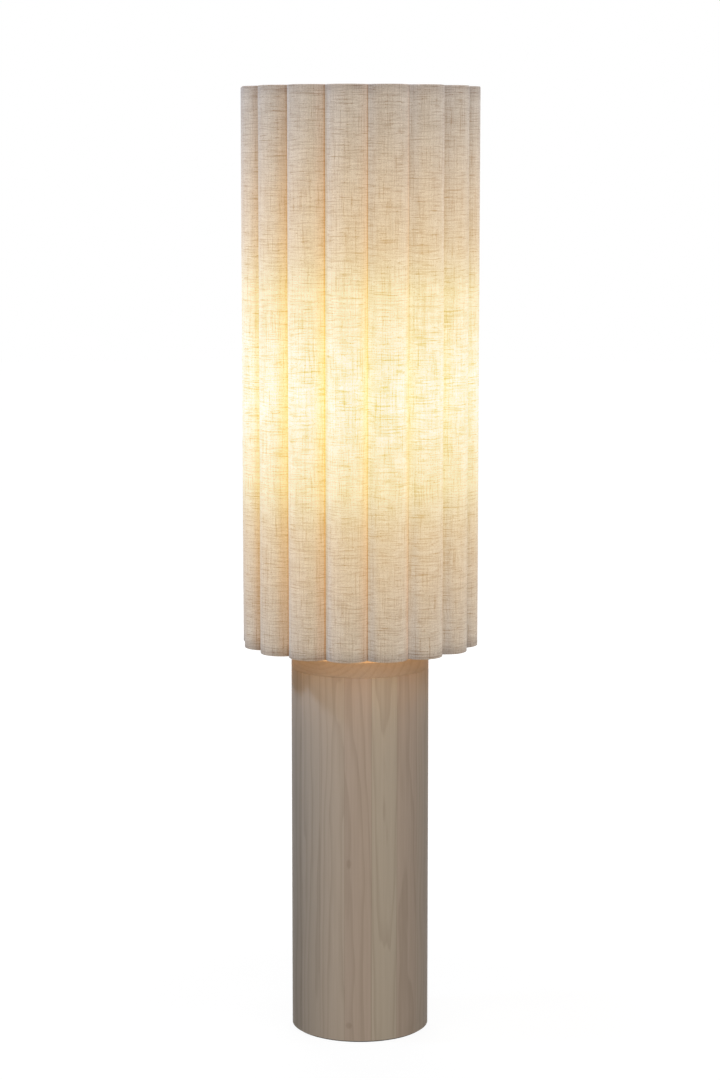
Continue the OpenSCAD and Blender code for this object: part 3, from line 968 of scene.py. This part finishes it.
class LAMP_OT_lampholder(bpy.types.Operator):
    """Finish the holder's brass cap and shell, its porcelain insert and its contacts"""

    bl_idname = "lamp.lampholder"
    bl_label = "Lampholder"

    def execute(self, context):
        # Spun from sheet brass, from the pipe out: neck, flare, drum with two grooves, and inside
        cap = turned(
            "brass_holder_cap",
            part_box("holder_cap")[0].z,
            [
                (5.1, 0.3), (5.4, 0.0), (8.4, 0.0), (9.0, 0.5), (9.0, 2.6), (8.6, 3.0),
                (9.2, 3.6), (10.6, 4.6), (12.8, 6.2), (15.2, 8.2), (16.8, 9.2), (18.4, 9.7),
                (18.9, 10.2), (18.9, 12.4), (18.4, 12.8), (18.4, 13.4), (18.9, 13.8),
                (18.9, 16.2), (18.4, 16.6), (18.4, 17.2), (18.9, 17.6), (18.9, 19.6),
                (18.6, 19.9), (18.1, 19.9), (18.1, 12.1), (16.2, 12.0), (13.0, 8.4),
                (8.6, 4.0), (7.6, 2.0), (5.1, 2.0), (5.1, 0.3),
            ],
        )
        # Its shell screws on the cap, and its upper edge is rolled in over the porcelain
        shell = turned(
            "brass_holder_shell",
            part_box("holder_shell")[0].z,
            [
                (18.1, 0.1), (18.6, 0.1), (18.9, 0.4), (18.9, 2.2), (18.5, 2.6), (18.5, 3.2),
                (18.9, 3.6), (18.9, 28.0), (18.5, 28.4), (18.5, 29.0), (18.9, 29.4),
                (18.9, 33.6), (18.7, 34.7), (18.2, 35.5), (17.6, 35.9), (17.0, 35.9),
                (16.6, 35.7), (16.5, 35.3), (16.7, 34.9), (17.9, 34.9), (18.1, 34.6), (18.1, 0.1),
            ],
        )
        brass = brushed_metal("brushed_holder_brass", *BRASS)
        for piece, node in ((cap, "holder_cap"), (shell, "holder_shell")):
            piece.data.materials.append(brass)
            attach(piece, "column")
            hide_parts(node)
        # Glazed porcelain, pressed and fired: white with a faint cloudiness under a clear gloss
        porcelain = speckled_material("glazed_porcelain", "#efece4", "#e4dfd4", 150, 0.12, 0.01)
        dress(porcelain, "holder_insert")
        pressed = brushed_metal("pressed_brass", "#dcc082", "#c09c54", 0.25, (400, 400, 400))
        dress(pressed, "holder_thread", "centre_contact")
        return {"FINISHED"}


def lit_glass_material():
    """Blown glass, frosted inside: lit, it glows evenly and hides the filaments."""
    material, tree = new_material("frosted_bulb_glass")
    place = put(tree, "TexCoord").outputs["Object"]
    frost = put(tree, "TexNoise", {"Vector": place, "Scale": 60.0, "Detail": 2.0})
    colour = put(
        tree, "Mix", {0: frost, 6: (*linear("#ffe0a8"), 1), 7: (*linear("#ffeec8"), 1)},
        data_type="RGBA",
    )
    shader = put(
        tree, "BsdfPrincipled",
        {
            "Base Color": (*linear("#fff6e4"), 1),
            "Roughness": 0.25,
            "IOR": 1.5,
            "Emission Color": colour,
            "Emission Strength": 1.6,
        },
    )
    put(tree, "OutputMaterial", {0: shader})
    return material


class LAMP_OT_bulb(bpy.types.Operator):
    """Finish the bulb: glass, screw base, insulator, tip, mount and filaments"""

    bl_idname = "lamp.bulb"
    bl_label = "Bulb"

    def execute(self, context):
        dress(lit_glass_material(), "bulb_glass")
        nickel = brushed_metal("nickel_plate", "#cfcac0", "#a8a49c", 0.22, (200, 200, 600))
        dress(nickel, "bulb_base", "bulb_contact")
        vitrite = speckled_material("black_vitrite_glass", "#1f1f23", "#151518", 300, 0.1, 0.01)
        dress(vitrite, "bulb_insulator")
        glass = speckled_material("glass_mount", "#dfe8e6", "#cfdad8", 200, 0.08, 0.01)
        dress(glass, "filament_mount")
        phosphor = speckled_material("phosphor_filament", "#ffc061", "#f0a040", 800, 0.5, 0.02)
        dress(phosphor, "bulb_filaments")
        return {"FINISHED"}


# Studio ------------------------------------------------------------------------------------


def area_light(name, place, aim, size, power, colour, spread):
    """A square soft light, which looks at the point of the lamp's axis that is aim high."""
    data = bpy.data.lights.new(name, "AREA")
    data.size = size
    data.spread = spread
    data.energy = power
    data.color = linear(colour)
    light = bpy.data.objects.new(name, data)
    light.location = place
    look = Vector((0, 0, aim)) - Vector(place)
    light.rotation_euler = look.to_track_quat("-Z", "Y").to_euler()
    light.visible_camera = False
    bpy.context.scene.collection.objects.link(light)


def seen_plainly(tree):
    """1 for what the camera sees, also in metal and through glass, and 0 for light on the lamp."""
    rays = put(tree, "LightPath").outputs
    seen = rays["Is Camera Ray"]
    for kind in ("Is Glossy Ray", "Is Transmission Ray"):
        seen = put(tree, "Math", {0: seen, 1: rays[kind]}, operation="MAXIMUM")
    return seen


def floor_material():
    """A seamless pale studio floor: white to the camera, and it keeps the lamp's shadow."""
    material, tree = new_material("studio_floor")
    # Beyond the lamp's shadow the floor runs out into the white backdrop
    place = put(tree, "TexCoord").outputs["Object"]
    away = put(tree, "VectorMath", {0: place}, operation="LENGTH").outputs["Value"]
    level = put(
        tree, "MapRange", {"Value": away, "From Min": 0.3, "From Max": 0.8, "To Min": 0.93},
        interpolation_type="SMOOTHSTEP",
    )
    level = put(tree, "Math", {0: seen_plainly(tree), 1: level}, operation="MULTIPLY")
    diffuse = put(tree, "BsdfDiffuse", {"Color": (*linear("#4f4e4d"), 1)})
    glow = put(tree, "Emission", {"Color": WHITE, "Strength": level})
    put(tree, "OutputMaterial", {0: put(tree, "AddShader", {0: diffuse, 1: glow})})
    return material


def white_world(strength):
    """Even light from all round, which the camera, metal and glass see as plain white."""
    world = bpy.data.worlds.new("studio")
    world.use_nodes = True
    tree = world.node_tree
    tree.nodes.clear()
    level = put(tree, "MapRange", {"Value": seen_plainly(tree), "To Min": strength})
    sky = put(tree, "Background", {"Color": WHITE, "Strength": level})
    put(tree, "OutputWorld", {0: sky})
    bpy.context.scene.world = world


class LAMP_OT_stage(bpy.types.Operator):
    """Set up the camera, the floor and the soft studio light"""

    bl_idname = "lamp.stage"
    bl_label = "Studio"

    def execute(self, context):
        studio = context.scene.lamp_studio
        data = bpy.data.cameras.new("camera")
        data.sensor_fit = "VERTICAL"
        data.sensor_height = 36
        data.lens = studio.lens
        camera = bpy.data.objects.new("camera", data)
        camera.location = (0, -studio.distance, studio.height)
        camera.rotation_euler = (math.pi / 2 - studio.tilt, 0, 0)
        context.scene.collection.objects.link(camera)
        context.scene.camera = camera
        context.scene.view_settings.view_transform = "Standard"

        white_world(studio.world)
        neutral, open_wide, grid = "#fffefc", math.pi, studio.grid
        left_side, right_side = 0.6 * studio.sides, 0.9 * studio.sides
        # Name, place, the height it looks at, size, power, colour and spread
        for light in (
            ("front", (0.2, -3.2, 1.3), 0.6, 2.4, studio.front, neutral, open_wide),
            ("above", (0.0, -0.25, 3.0), 0.8, 0.8, studio.above, neutral, open_wide),
            ("front_left", (-1.6, -1.6, 2.0), 0.8, 0.8, left_side, neutral, open_wide),
            ("front_right", (1.6, -1.6, 2.0), 0.8, 0.8, right_side, "#fffaf4", open_wide),
            ("left", (-1.1, -0.1, 1.38), 0.75, 0.14, studio.key, "#bcd8ff", grid),
            ("right", (1.0, 0.0, 1.45), 0.75, 0.3, studio.fill, "#c4dcff", grid),
            ("back", (-0.2, 3.2, 1.6), 0.6, 2.4, studio.back, neutral, open_wide),
        ):
            area_light(*light)

        bpy.ops.object.select_all(action="DESELECT")
        bpy.ops.mesh.primitive_circle_add(vertices=96, radius=12, fill_type="NGON")
        floor = context.object
        floor.name = "floor"
        floor.data.materials.append(floor_material())
        return {"FINISHED"}


# Panel and registration --------------------------------------------------------------------


OPERATORS = (
    LAMP_OT_stage,
    LAMP_OT_linen,
    LAMP_OT_shade_frame,
    LAMP_OT_column,
    LAMP_OT_stem,
    LAMP_OT_lampholder,
    LAMP_OT_bulb,
)


class LAMP_PT_steps(bpy.types.Panel):
    """The steps that dress the lamp, in order, and their sizes and colours"""

    bl_idname = "LAMP_PT_steps"
    bl_label = "Fluted linen floor lamp"
    bl_space_type = "VIEW_3D"
    bl_region_type = "UI"
    bl_category = "Lamp"

    def draw(self, context):
        column = self.layout.column()
        for operator in OPERATORS:
            column.operator(operator.bl_idname)
        for name, group in SETTINGS.items():
            values = getattr(context.scene, name)
            for value in group.__annotations__:
                column.prop(values, value)


def register():
    for group in SETTINGS.values():
        bpy.utils.register_class(group)
    for name, group in SETTINGS.items():
        setattr(bpy.types.Scene, name, PointerProperty(type=group))
    for item in (*OPERATORS, LAMP_PT_steps):
        bpy.utils.register_class(item)


def unregister():
    for item in (LAMP_PT_steps, *reversed(OPERATORS)):
        bpy.utils.unregister_class(item)
    for name, group in SETTINGS.items():
        delattr(bpy.types.Scene, name)
        bpy.utils.unregister_class(group)


def main():
    """Make every piece in order."""
    register()
    for operator in OPERATORS:
        section, name = operator.bl_idname.split(".")
        getattr(getattr(bpy.ops, section), name)()


if __name__ == "__main__":
    main()
